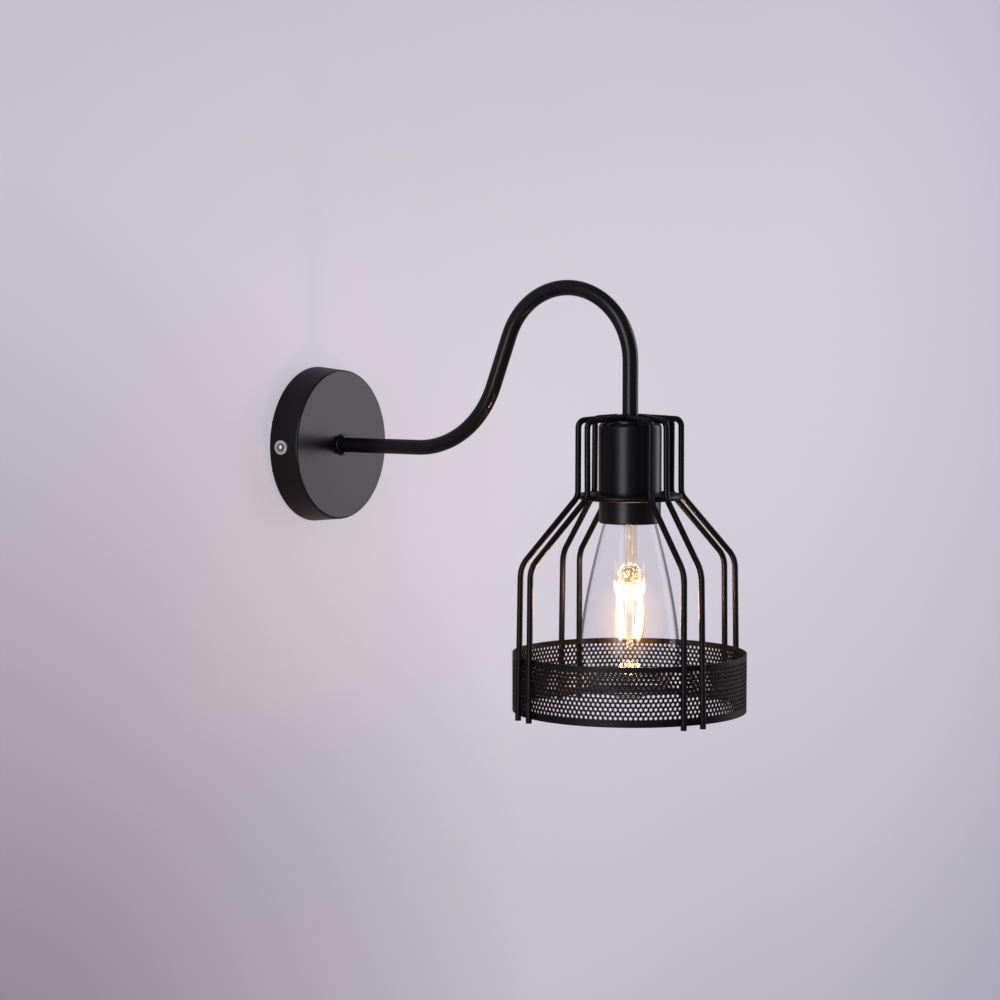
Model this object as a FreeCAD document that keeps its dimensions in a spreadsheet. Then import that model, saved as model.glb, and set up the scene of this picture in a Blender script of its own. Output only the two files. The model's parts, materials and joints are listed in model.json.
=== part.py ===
import FreeCAD, Part
import math
import os
import Sketcher

# Caged wall light: a round wall cup with a hidden bracket, a swan-neck tube, a cage of eight wires in
# four pairs with a perforated band, a lamp cup with a screw lampholder, and a filament bulb that
# screws in and out.
# Frame: the wall is the plane Y = 0 and the light stands off it toward -Y. +Z is up. The origin is
# the centre of the bracket's flat back, on the axis of the tube's root.
# "reach" is a distance from the wall; "level" on the lamp side counts from the lamp cup's top.

SIZES = [
    # wall cup and bracket
    ("wall_gap", 2.5, "wall to the cup's rim"),
    ("cup_face_diameter", 101.0, "flat front of the wall cup"),
    ("cup_rim_diameter", 105.0, "open rim of the wall cup"),
    ("cup_depth", 21.0, "rim to front face"),
    ("cup_wall", 1.0, "sheet of the wall cup"),
    ("cup_edge_radius", 1.2, "rounding of the front edge"),
    ("bracket_length", 94.4, "bracket strip, without its ear tabs"),
    ("bracket_width", 34.0, "bracket strip, up and down"),
    ("bracket_thickness", 1.8, "bracket sheet"),
    ("ear_width", 14.0, "upturned ear of the bracket"),
    ("ear_height", 17.0, "ear, from the wall"),
    ("ear_gap", 0.3, "ear to the cup's inside"),
    ("cable_hole", 12.0, "hole for the supply cable"),
    ("slot_spacing", 56.0, "between the wall screw slots"),
    ("slot_length", 9.0, "wall screw slot, end to end"),
    ("slot_width", 4.6, "wall screw slot"),
    ("side_screw_reach", 11.5, "wall to the side screws"),
    ("side_screw_diameter", 4.0, "side screw thread"),
    ("side_screw_length", 9.0, "side screw under its head"),
    ("side_head_diameter", 6.6, "domed head of a side screw"),
    ("side_head_height", 2.3, "domed head of a side screw"),
    ("side_washer_diameter", 9.4, "washer under a side screw"),
    ("side_washer_thickness", 1.0, "washer under a side screw"),
    ("screw_play", 0.2, "screw to its hole, all round"),
    ("earth_screw_offset", 14.0, "earth screw beside the cable hole"),
    ("earth_screw_height", 9.5, "earth screw above the axis"),
    # terminal block
    ("block_length", 18.0, "terminal block, sideways"),
    ("block_height", 9.0, "terminal block, up and down"),
    ("block_depth", 10.0, "terminal block, off the bracket"),
    ("block_drop", 7.6, "axis to the block's top"),
    ("pole_offset", 4.0, "block centre to a pole"),
    ("pole_bore", 2.2, "hole for a lead"),
    ("pole_screw_diameter", 3.0, "clamping screw of a pole"),
    ("cut_overrun", 1.0, "a cutting cylinder past the face it enters by"),
    # tube, nipples, washers and nuts
    ("tube_diameter", 10.0, "swan-neck tube"),
    ("tube_wall", 1.0, "swan-neck tube"),
    ("nipple_bore", 5.6, "threaded nipple, inside"),
    ("nipple_fit", 0.05, "nipple to its bore, all round"),
    ("nipple_grip", 12.0, "nipple inside the tube"),
    ("nipple_inner_reach", 11.0, "wall to the nipple's inner end"),
    ("hole_play", 0.2, "nipple to a sheet hole, all round"),
    ("flange_diameter", 14.8, "flange washer on the cup"),
    ("flange_thickness", 1.2, "flange washer on the cup"),
    ("front_nut_flats", 12.4, "lock nut before the tube"),
    ("front_nut_thickness", 3.2, "lock nut before the tube"),
    ("inner_washer_diameter", 16.0, "toothed washer in the cup"),
    ("inner_washer_thickness", 1.0, "toothed washer in the cup"),
    ("nut_flats", 13.0, "clamping nuts across flats"),
    ("nut_thickness", 4.0, "clamping nuts"),
    ("root_length", 62.8, "cup face to the first bend"),
    ("rise_radius", 64.0, "first bend, centre line"),
    ("rise_angle", 69.5, "climb after the first bend, degrees"),
    ("rise_length", 35.7, "straight between the bends"),
    ("arch_radius", 47.0, "arch, centre line"),
    # leads
    ("lead_diameter", 1.8, "insulated lead"),
    ("lead_offset", 1.35, "tube axis to a lead"),
    ("lead_bend", 3.2, "bend of a lead, centre line"),
    ("holder_pole_offset", 9.0, "lamp axis to a holder screw"),
    # cage
    ("cage_level", 20.5, "lamp cup's top above the root axis"),
    ("cage_turn_angle", -28.7, "first wire pair from the wall normal, degrees"),
    ("hub_diameter", 32.0, "disc that carries the wires"),
    ("hub_rim", 0.9, "thickness of the disc at its rim"),
    ("hub_land_diameter", 11.0, "flat seat for the tube"),
    ("cage_slope_angle", 4.0, "fall of the wires on top, degrees"),
    ("wire_diameter", 3.8, "cage wire"),
    ("pair_spacing", 11.3, "between the wires of a pair, on top"),
    ("pair_lean_angle", 0.4, "spread of a wire toward the band, degrees"),
    ("top_bend_radius", 4.6, "wire over the cage's shoulder"),
    ("neck_radius", 34.4, "lamp axis to a wire at the neck"),
    ("neck_bend_radius", 9.0, "wire at the neck"),
    ("neck_drop", 46.1, "cup top to the neck bend's corner"),
    ("waist_inset", 0.86, "wire under the slope, inside its line at the band"),
    ("waist_bend_radius", 16.0, "wire under the slope"),
    ("waist_drop", 88.7, "cup top to the lower bend's corner"),
    ("wire_tail", 2.2, "wire end below the band"),
    ("ring_wire_diameter", 3.8, "neck ring wire"),
    ("ring_drop", 46.8, "cup top to the neck ring"),
    ("weld_gap", 0.05, "joint between welded pieces"),
    ("band_diameter", 148.8, "perforated band, outside"),
    ("band_thickness", 0.9, "perforated band"),
    ("band_height", 37.0, "perforated band"),
    ("band_drop", 146.0, "cup top to the band's upper edge"),
    ("window_width", 12.0, "opening of the band, around"),
    ("window_height", 4.2, "opening of the band, up and down"),
    ("window_pitch", 6.75, "one row of openings to the next"),
    ("window_margin", 8.9, "band's lower edge to the first row's middle"),
    # lamp cup and lampholder
    ("lamp_cup_diameter", 40.0, "lamp cup, outside"),
    ("lamp_cup_length", 45.5, "lamp cup"),
    ("lamp_cup_wall", 1.2, "lamp cup"),
    ("lamp_cup_shoulder", 3.4, "rounding of the cup's shoulder"),
    ("holder_gap", 0.5, "lamp cup to the lampholder, all round"),
    ("holder_cap_drop", 8.0, "cup top to the holder's cap"),
    ("holder_cap_length", 14.0, "holder's cap"),
    ("holder_cap_wall", 1.6, "holder's cap"),
    ("holder_cap_shoulder", 4.0, "rounding of the holder's cap"),
    ("holder_body_length", 35.0, "holder's insulating body"),
    ("holder_thread_diameter", 33.0, "thread that takes the skirt"),
    ("holder_thread_length", 7.9, "thread that takes the skirt"),
    ("skirt_diameter", 39.2, "lampholder skirt"),
    ("skirt_length", 14.5, "lampholder skirt"),
    ("skirt_bore", 36.4, "skirt, around the bulb's neck"),
    ("skirt_edge_radius", 0.8, "lower edge of the skirt"),
    ("thread_play", 0.1, "skirt to its thread, all round"),
    ("base_diameter", 30.0, "ceramic contact base"),
    ("base_thickness", 4.0, "ceramic contact base"),
    ("base_drop", 28.0, "cup top to the contact base"),
    ("base_play", 0.2, "contact base to the holder, all round"),
    ("ledge_width", 0.5, "ledge under the contact base"),
    ("shell_gap", 0.3, "screw shell to the holder, all round"),
    ("shell_wall", 0.8, "brass screw shell"),
    ("shell_length", 22.0, "brass screw shell"),
    ("contact_diameter", 7.0, "centre contact"),
    ("contact_height", 2.2, "centre contact"),
    ("holder_screw_diameter", 5.2, "lead screw of the holder"),
    ("holder_screw_height", 2.8, "lead screw of the holder"),
    # bulb
    ("contact_gap", 0.3, "centre contact to the bulb"),
    ("tip_diameter", 9.6, "bulb's centre contact"),
    ("tip_height", 1.2, "bulb's centre contact"),
    ("insulator_height", 4.4, "glass cone under the tip"),
    ("insulator_diameter", 23.6, "glass cone, at the cap"),
    ("turn_gap", 0.2, "cone to the turning cap"),
    ("cap_play", 0.5, "bulb cap to the screw shell, all round"),
    ("cap_length", 17.2, "bulb's screw cap"),
    ("cap_wall", 0.4, "bulb's screw cap"),
    ("cement_gap", 0.3, "cap to the glass, all round"),
    ("bulb_diameter", 64.0, "widest part of the glass"),
    ("bulb_length", 141.0, "tip to crown"),
    ("glass_wall", 0.8, "bulb glass"),
    ("crown_height", 29.0, "widest part to the crown"),
    ("crown_corner", 24.0, "corner arc of the crown"),
    ("neck_glass_diameter", 33.4, "glass under the skirt"),
    ("neck_glass_drop", 63.8, "cup top to the glass under the skirt"),
    ("neck_flare", 6.0, "height of the glass shoulder"),
    ("neck_tube_length", 8.0, "glass tube inside the cap"),
    ("stem_gap", 0.3, "stem to the neck glass, all round"),
    ("stem_wall", 1.0, "glass of the stem"),
    ("stem_diameter", 9.0, "stem tube"),
    ("stem_flare", 10.0, "height of the stem's flare"),
    ("stem_length", 41.0, "stem, flare to pinch"),
    ("rod_diameter", 2.4, "glass rod on the lamp axis"),
    ("filament_diameter", 1.6, "one filament"),
    ("filament_drop", 40.5, "height of a filament"),
    ("filament_top_drop", 96.0, "cup top to the filaments"),
    ("filament_top_radius", 11.5, "lamp axis to a filament, on top"),
    ("filament_low_radius", 5.0, "lamp axis to a filament, below"),
    ("filament_turn_angle", -17.0, "first filament from the wall normal, degrees"),
    ("carrier_wire", 0.8, "wire of the filament carriers"),
    ("carrier_collar", 1.0, "wall of a carrier's collar"),
    ("carrier_collar_height", 2.4, "height of a carrier's collar"),
    ("small_gap", 0.1, "between parts of the bulb's inside"),
]

WIRE_PAIRS = 4
WINDOW_ROWS = 4
WINDOW_COLUMNS = 24
FILAMENTS = 4
DOWN_TO_WALL_AXIS = FreeCAD.Rotation(FreeCAD.Vector(1, 0, 0), 90)
UPRIGHT = FreeCAD.Rotation()

doc = FreeCAD.newDocument("cage_wall_light")
sheet = doc.addObject("Spreadsheet::Sheet", "Sizes")


class Size:
    """A number that keeps the sheet expression it was worked out with."""

    def __init__(self, value, text):
        self.value = value
        self.text = text

    def _join(self, sign, other, value):
        return Size(value, "(%s %s %s)" % (self.text, sign, other.text))

    def __add__(self, other):
        other = as_size(other)
        return self._join("+", other, self.value + other.value)

    def __sub__(self, other):
        other = as_size(other)
        return self._join("-", other, self.value - other.value)

    def __mul__(self, other):
        other = as_size(other)
        return self._join("*", other, self.value * other.value)

    def __truediv__(self, other):
        other = as_size(other)
        return self._join("/", other, self.value / other.value)

    def __neg__(self):
        return Size(-self.value, "(0 - %s)" % self.text)

    def __radd__(self, other):
        return as_size(other) + self

    def __rsub__(self, other):
        return as_size(other) - self

    def __rmul__(self, other):
        return as_size(other) * self


def as_size(item):
    if isinstance(item, Size):
        return item
    return Size(float(item), "(%r)" % float(item))


def sine(angle):
    return Size(math.sin(math.radians(angle.value)), "sin(%s)" % angle.text)


def cosine(angle):
    return Size(math.cos(math.radians(angle.value)), "cos(%s)" % angle.text)


def tangent(angle):
    return Size(math.tan(math.radians(angle.value)), "tan(%s)" % angle.text)


def root(number):
    return Size(math.sqrt(number.value), "sqrt(%s)" % number.text)


class Table:
    """The driving sizes by name, each tied to its cell."""


def fill_sheet():
    """Writes one row per driving size: name, value, note."""
    table = Table()
    for row, (name, value, note) in enumerate(SIZES, start=1):
        sheet.set("A%d" % row, name)
        sheet.set("B%d" % row, str(value))
        sheet.setAlias("B%d" % row, name)
        sheet.set("C%d" % row, note)
    doc.recompute()
    for name, _, _ in SIZES:
        setattr(table, name, Size(float(sheet.get(name)), "Sizes." + name))
    return table


S = fill_sheet()
nodes = []


# ---- helpers -------------------------------------------------------------------------------------

def bind(item, prop, size):
    item.setExpression(prop, size.text)


def place(item, x=0.0, y=0.0, z=0.0, rotation=UPRIGHT):
    """Sets an object's rotation and binds its position."""
    item.Placement = FreeCAD.Placement(FreeCAD.Vector(0, 0, 0), rotation)
    for axis, size in (("x", x), ("y", y), ("z", z)):
        if isinstance(size, Size):
            bind(item, "Placement.Base." + axis, size)


def new_body(name):
    body = doc.addObject("PartDesign::Body", name)
    body.Label = name
    nodes.append(body)
    return body


def origin_part(body, role):
    return next(item for item in body.Origin.OriginFeatures if item.Role == role)


def new_sketch(body, role, tag, offset=None):
    sketch = body.newObject("Sketcher::SketchObject", body.Name + "_" + tag)
    sketch.AttachmentSupport = (origin_part(body, role), [""])
    sketch.MapMode = "FlatFace"
    if offset is not None:
        bind(sketch, "AttachmentOffset.Base.z", offset)
    return sketch


def pin_point(sketch, geometry, end, x, y):
    """Ties one point of the sketch to a bound place."""
    for kind, size in (("DistanceX", x), ("DistanceY", y)):
        size = as_size(size)
        index = sketch.addConstraint(Sketcher.Constraint(kind, -1, 1, geometry, end, size.value))
        sketch.setExpression("Constraints[%d]" % index, size.text)


def bind_radius(sketch, geometry, radius):
    index = sketch.addConstraint(Sketcher.Constraint("Radius", geometry, radius.value))
    sketch.setExpression("Constraints[%d]" % index, radius.text)


def add_circle(sketch, x, y, radius):
    x, y = as_size(x), as_size(y)
    centre = FreeCAD.Vector(x.value, y.value, 0)
    circle = sketch.addGeometry(Part.Circle(centre, FreeCAD.Vector(0, 0, 1), radius.value), False)
    pin_point(sketch, circle, 3, x, y)
    bind_radius(sketch, circle, radius)


def arc_between(start, end, radius, turn):
    """Minor arc from start to end; turn is +1 for counter-clockwise, -1 for clockwise."""
    chord = end - start
    half = chord.Length / 2
    height = math.sqrt(max(radius * radius - half * half, 0.0))
    left = FreeCAD.Vector(-chord.y, chord.x, 0).normalize()
    centre = start + chord * 0.5 + left * (turn * height)
    middle = centre - left * (turn * radius)
    return Part.Arc(start, middle, end)


def draw_outline(sketch, outline):
    """Closed outline. Each entry is (x, y), reached by a line, or (x, y, radius, turn), by an arc."""
    corners = [FreeCAD.Vector(as_size(p[0]).value, as_size(p[1]).value, 0) for p in outline]
    ids = []
    for number, entry in enumerate(outline):
        start = corners[number - 1]
        end = corners[number]
        if len(entry) == 2:
            ids.append((sketch.addGeometry(Part.LineSegment(start, end), False), 1, 2))
        else:
            arc = sketch.addGeometry(arc_between(start, end, entry[2].value, entry[3]), False)
            ids.append((arc, 1, 2) if entry[3] > 0 else (arc, 2, 1))
    for number, entry in enumerate(outline):
        here = ids[number]
        following = ids[(number + 1) % len(ids)]
        sketch.addConstraint(Sketcher.Constraint("Coincident", here[0], here[2], following[0], following[1]))
        pin_point(sketch, here[0], here[2], entry[0], entry[1])
        if len(entry) == 4:
            bind_radius(sketch, here[0], entry[2])


def revolve(name, outline):
    """Solid of revolution about the body's Z axis from an outline of (radius, height)."""
    body = new_body(name)
    sketch = new_sketch(body, "XZ_Plane", "profile")
    draw_outline(sketch, outline)
    turned = body.newObject("PartDesign::Revolution", name + "_turned")
    turned.Profile = sketch
    turned.ReferenceAxis = (sketch, ["V_Axis"])
    turned.Angle = 360
    return body


def ring_outline(inner, outer, low, high):
    return [(inner, low), (outer, low), (outer, high), (inner, high)]


def pad(body, sketch, length, tag):
    feature = body.newObject("PartDesign::Pad", body.Name + "_" + tag)
    feature.Profile = sketch
    bind(feature, "Length", length)
    return feature


def pocket_through(body, sketch, tag):
    """Cuts the sketch both ways through the whole body."""
    feature = body.newObject("PartDesign::Pocket", body.Name + "_" + tag)
    feature.Profile = sketch
    feature.Type = "ThroughAll"
    feature.Midplane = True
    return feature


def rectangle(x_low, x_high, y_low, y_high):
    return [(x_low, y_low), (x_high, y_low), (x_high, y_high), (x_low, y_high)]


def hex_nut(name, flats, thickness, bore):
    """Hexagon nut that stands on its local Z = 0 plane."""
    body = new_body(name)
    sketch = new_sketch(body, "XY_Plane", "hexagon")
    corner = flats / root(as_size(3.0))
    hexagon = []
    for number in range(6):
        angle = as_size(60.0 * number)
        hexagon.append((corner * cosine(angle), corner * sine(angle)))
    draw_outline(sketch, hexagon)
    add_circle(sketch, 0, 0, bore / 2)
    pad(body, sketch, thickness, "thickness")
    return body


def rounded_corner(before, corner, after, radius):
    """Start and end of the arc that rounds a corner of a path."""
    to_before = (before - corner).normalize()
    to_after = (after - corner).normalize()
    run = radius / math.tan(to_before.getAngle(to_after) / 2)
    return corner + to_before * run, corner + to_after * run


def draw_path(sketch, corners, radii):
    """Open path of straight runs with its corners rounded by tangent arcs.

    The corners stay in the sketch as points that the runs aim at.
    """
    spots = [FreeCAD.Vector(x.value, y.value, 0) for x, y in corners]
    lines = []
    arcs = []
    start = spots[0]
    for number in range(1, len(spots) - 1):
        first, last = rounded_corner(*spots[number - 1:number + 2], radii[number - 1].value)
        lines.append(sketch.addGeometry(Part.LineSegment(start, first), False))
        side = (first - start).cross(spots[number + 1] - last).z
        turn = 1 if side > 0 else -1
        arcs.append((sketch.addGeometry(arc_between(first, last, radii[number - 1].value, turn), False), turn))
        start = last
    lines.append(sketch.addGeometry(Part.LineSegment(start, spots[-1]), False))
    for number, (arc, turn) in enumerate(arcs):
        near, far = (1, 2) if turn > 0 else (2, 1)
        sketch.addConstraint(Sketcher.Constraint("Tangent", lines[number], 2, arc, near))
        sketch.addConstraint(Sketcher.Constraint("Tangent", arc, far, lines[number + 1], 1))
        bind_radius(sketch, arc, radii[number])
        corner = sketch.addGeometry(Part.Point(spots[number + 1]), True)
        pin_point(sketch, corner, 1, *corners[number + 1])
        sketch.addConstraint(Sketcher.Constraint("PointOnObject", corner, 1, lines[number]))
        sketch.addConstraint(Sketcher.Constraint("PointOnObject", corner, 1, lines[number + 1]))
    pin_point(sketch, lines[0], 1, *corners[0])
    pin_point(sketch, lines[-1], 2, *corners[-1])


def sweep(body, section, path):
    pipe = body.newObject("PartDesign::AdditivePipe", body.Name + "_swept")
    pipe.Profile = section
    pipe.Spine = path
    pipe.Mode = "Frenet"
    return pipe


def block(name, x_size, y_size, z_size):
    box = doc.addObject("Part::Box", name)
    for prop, size in (("Length", x_size), ("Width", y_size), ("Height", z_size)):
        bind(box, prop, size)
    return box


def cylinder(name, radius, height):
    item = doc.addObject("Part::Cylinder", name)
    bind(item, "Radius", radius)
    bind(item, "Height", height)
    return item


def bored(name, blank, tools):
    """One node: the blank with each tool cut out of it in turn."""
    for number, tool in enumerate(tools, start=1):
        last = number == len(tools)
        cut = doc.addObject("Part::Cut", name if last else "%s_cut_%d" % (name, number))
        cut.Base = blank
        cut.Tool = tool
        blank = cut
    blank.Label = name
    nodes.append(blank)
    return blank


# ---- places worked out from the sizes -----------------------------------------------------------

face_reach = S.wall_gap + S.cup_depth
taper_run = (S.cup_rim_diameter - S.cup_face_diameter) / 2
side_radius = S.cup_rim_diameter / 2 - taper_run * (S.side_screw_reach - S.wall_gap) / S.cup_depth
cup_inside = S.cup_face_diameter / 2 - S.cup_wall
ear_face = root(cup_inside * cup_inside - S.ear_width / 2 * (S.ear_width / 2)) - S.ear_gap
ear_depth = side_radius - ear_face + S.bracket_thickness / 2
ear_screw_reach = S.side_screw_reach - ear_depth * taper_run / S.cup_depth
nipple_radius = S.tube_diameter / 2 - S.tube_wall - S.nipple_fit
nipple_hole = nipple_radius + S.hole_play
tube_start = face_reach + S.flange_thickness + S.front_nut_thickness
bend_start = face_reach + S.root_length

rise_run = S.rise_radius * tangent(S.rise_angle / 2)
arch_run = S.arch_radius * tangent((S.rise_angle + 90.0) / 2)
rise_reach = bend_start + rise_run
climb = rise_run + S.rise_length + arch_run
lamp_reach = rise_reach + climb * cosine(S.rise_angle)
arch_level = climb * sine(S.rise_angle)

hub_top = S.hub_rim + (S.hub_diameter - S.hub_land_diameter) / 2 * tangent(S.cage_slope_angle)
tube_end = S.cage_level + hub_top
wire_rest = S.wire_diameter / 2 / cosine(S.cage_slope_angle) + S.weld_gap
wire_axis_height = S.hub_rim + wire_rest + S.hub_diameter / 2 * tangent(S.cage_slope_angle)
wire_start_radius = S.pair_spacing / 2 + S.wire_diameter / 2 + S.screw_play
band_low = S.band_drop + S.band_height
wire_low = band_low + S.wire_tail
lean_offset = S.pair_spacing / 2 + S.band_drop * tangent(S.pair_lean_angle)
band_contact = S.band_diameter / 2 + S.wire_diameter / 2 + S.weld_gap
wire_band_radius = root(band_contact * band_contact - lean_offset * lean_offset)
waist_radius = wire_band_radius - S.waist_inset
wire_flare = S.waist_inset / (S.band_drop - S.waist_drop)
wire_low_radius = waist_radius + wire_flare * (wire_low - S.waist_drop)

body_radius = S.lamp_cup_diameter / 2 - S.lamp_cup_wall - S.holder_gap
body_top = S.holder_cap_drop + S.holder_cap_length
body_low = body_top + S.holder_body_length
skirt_top = body_low - S.holder_thread_length
base_low = S.base_drop + S.base_thickness
base_seat_radius = S.base_diameter / 2 + S.base_play
body_bore_radius = base_seat_radius - S.ledge_width
shell_radius = body_bore_radius - S.shell_gap
tip_drop = base_low + S.contact_height + S.contact_gap
cap_drop = tip_drop + S.tip_height + S.insulator_height + S.turn_gap
cap_radius = shell_radius - S.shell_wall - S.cap_play


def lamp_piece(item, turn=0.0):
    """Stands a piece on the lamp axis, its heights counted from the lamp cup's top."""
    rotation = FreeCAD.Rotation(FreeCAD.Vector(0, 0, 1), turn)
    place(item, y=-lamp_reach, z=S.cage_level, rotation=rotation)
    return item


def wall_piece(item, reach=0.0):
    """Lays a piece on the tube's root axis, its heights counted from the wall."""
    place(item, y=-as_size(reach), rotation=DOWN_TO_WALL_AXIS)
    return item


# ---- wall cup and bracket ------------------------------------------------------------------------

def make_wall_cup():
    """Spun sheet cup, slightly wider at the rim, with a rounded front edge."""
    rim = S.cup_rim_diameter / 2
    face = S.cup_face_diameter / 2
    edge = S.cup_edge_radius
    inside = face_reach - S.cup_wall
    body = revolve("wall_cup", [
        (rim - S.cup_wall, S.wall_gap),
        (rim, S.wall_gap),
        (face, face_reach - edge),
        (face - edge, face_reach, edge, 1),
        (nipple_hole, face_reach),
        (nipple_hole, inside),
        (face - S.cup_wall, inside),
    ])
    holes = new_sketch(body, "YZ_Plane", "screw_holes")
    add_circle(holes, 0, S.side_screw_reach, S.side_screw_diameter / 2 + S.screw_play)
    pocket_through(body, holes, "screw_hole_cut")
    wall_piece(body)


def add_slot(sketch, middle):
    """Slot with round ends, along the sketch's X direction."""
    half_run = (S.slot_length - S.slot_width) / 2
    radius = S.slot_width / 2
    ends = []
    for side in (-1, 1):
        centre = FreeCAD.Vector((middle + side * half_run).value, 0, 0)
        up = FreeCAD.Vector(0, radius.value, 0)
        outward = FreeCAD.Vector(side * radius.value, 0, 0)
        shape = Part.Arc(centre - up, centre + outward, centre + up)
        arc = sketch.addGeometry(shape, False)
        pin_point(sketch, arc, 3, middle + side * half_run, 0)
        bind_radius(sketch, arc, radius)
        low, high = (1, 2) if side > 0 else (2, 1)
        ends.append((arc, low, high, centre))
    for number, up in ((1, -radius.value), (2, radius.value)):
        left, right = ends
        offset = FreeCAD.Vector(0, up, 0)
        line = sketch.addGeometry(Part.LineSegment(left[3] + offset, right[3] + offset), False)
        sketch.addConstraint(Sketcher.Constraint("Tangent", left[0], left[number], line, 1))
        sketch.addConstraint(Sketcher.Constraint("Tangent", right[0], right[number], line, 2))


def make_wall_bracket():
    """Flat strip on the wall with two upturned ears that the side screws enter."""
    body = new_body("wall_bracket")
    strip = new_sketch(body, "XY_Plane", "strip")
    half_length = S.bracket_length / 2
    half_width = S.bracket_width / 2
    half_ear = S.ear_width / 2
    draw_outline(strip, [
        (-half_length, -half_width), (half_length, -half_width), (half_length, -half_ear),
        (ear_face, -half_ear), (ear_face, half_ear), (half_length, half_ear),
        (half_length, half_width), (-half_length, half_width), (-half_length, half_ear),
        (-ear_face, half_ear), (-ear_face, -half_ear), (-half_length, -half_ear),
    ])
    add_circle(strip, 0, 0, S.cable_hole / 2)
    add_circle(strip, S.earth_screw_offset, S.earth_screw_height, S.side_screw_diameter / 2)
    pad(body, strip, S.bracket_thickness, "sheet")
    for tag, low, high in (("right", ear_face - S.bracket_thickness, ear_face),
                           ("left", -ear_face, S.bracket_thickness - ear_face)):
        ear = new_sketch(body, "XY_Plane", "ear_" + tag)
        draw_outline(ear, rectangle(low, high, -half_ear, half_ear))
        pad(body, ear, S.ear_height, tag + "_ear")
    slots = new_sketch(body, "XY_Plane", "slots")
    add_slot(slots, S.slot_spacing / 2)
    add_slot(slots, -S.slot_spacing / 2)
    pocket_through(body, slots, "slot_cut")
    holes = new_sketch(body, "YZ_Plane", "screw_holes")
    add_circle(holes, 0, ear_screw_reach, S.side_screw_diameter / 2 + S.screw_play)
    pocket_through(body, holes, "screw_hole_cut")
    wall_piece(body)


def dome_screw(name, head_radius, head_height, shank_radius, shank_length):
    """Domed screw with its head on local Z = 0 and its shank below."""
    dome = (head_radius * head_radius + head_height * head_height) / (2 * head_height)
    return revolve(name, [
        (0, -shank_length),
        (shank_radius, -shank_length),
        (shank_radius, 0),
        (head_radius, 0),
        (0, head_height, dome, 1),
    ])


def make_side_screws():
    """Screws and washers that stand square on the cup's tapered side, left and right."""
    slope = taper_run.value / S.cup_depth.value
    for tag, side in (("left", -1), ("right", 1)):
        outward = FreeCAD.Vector(side, -slope, 0).normalize()
        rotation = FreeCAD.Rotation(FreeCAD.Vector(0, 0, 1), outward)
        washer = revolve("side_washer_" + tag, ring_outline(
            S.side_screw_diameter / 2 + S.screw_play, S.side_washer_diameter / 2,
            as_size(0), S.side_washer_thickness))
        place(washer, x=side * side_radius, y=-S.side_screw_reach, rotation=rotation)
        screw = dome_screw("side_screw_" + tag, S.side_head_diameter / 2, S.side_head_height,
                           S.side_screw_diameter / 2, S.side_screw_length)
        run = S.side_washer_thickness
        place(screw, x=side * (side_radius + run * outward.x * side),
              y=-S.side_screw_reach + run * outward.y, rotation=rotation)


def make_earth_screw():
    """Pan screw in the bracket for the earth conductor."""
    screw = dome_screw("earth_screw", S.side_head_diameter / 2, S.side_head_height,
                       S.side_screw_diameter / 2, S.bracket_thickness)
    place(screw, x=S.earth_screw_offset, y=-S.bracket_thickness, z=S.earth_screw_height,
          rotation=DOWN_TO_WALL_AXIS)


# ---- terminal block -----------------------------------------------------------------------------

pole_reach = S.bracket_thickness + S.block_depth / 2
pole_depth = S.block_height / 2 + S.pole_screw_diameter / 2
pole_screw_length = S.block_depth / 2 - S.lead_diameter / 2 - S.small_gap


def make_terminal_block():
    """Two-pole block below the cable hole: the leads enter from above, screws clamp them."""
    body = block("terminal_block_blank", S.block_length, S.block_depth, S.block_height)
    place(body, x=-S.block_length / 2, y=-S.bracket_thickness - S.block_depth,
          z=-S.block_drop - S.block_height)
    tools = []
    for tag, side in (("live", 1), ("neutral", -1)):
        entry = cylinder("pole_entry_" + tag, S.pole_bore / 2, pole_depth + S.cut_overrun)
        place(entry, x=side * S.pole_offset, y=-pole_reach, z=-S.block_drop - pole_depth)
        well = cylinder("pole_well_" + tag, S.pole_screw_diameter / 2 + S.small_gap,
                        S.block_depth / 2 + S.cut_overrun)
        place(well, x=side * S.pole_offset, y=-pole_reach, z=-S.block_drop - S.block_height / 2,
              rotation=DOWN_TO_WALL_AXIS)
        tools += [entry, well]
    bored("terminal_block", body, tools)


def make_pole_screws():
    """Screws in the block's wells, each resting just off its lead."""
    for tag, side in (("live", 1), ("neutral", -1)):
        screw = revolve("pole_screw_" + tag, [
            (0, 0), (S.pole_screw_diameter / 2, 0),
            (S.pole_screw_diameter / 2, pole_screw_length), (0, pole_screw_length)])
        place(screw, x=side * S.pole_offset,
              y=-pole_reach - S.lead_diameter / 2 - S.small_gap,
              z=-S.block_drop - S.block_height / 2, rotation=DOWN_TO_WALL_AXIS)


# ---- tube and its fastenings --------------------------------------------------------------------

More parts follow.
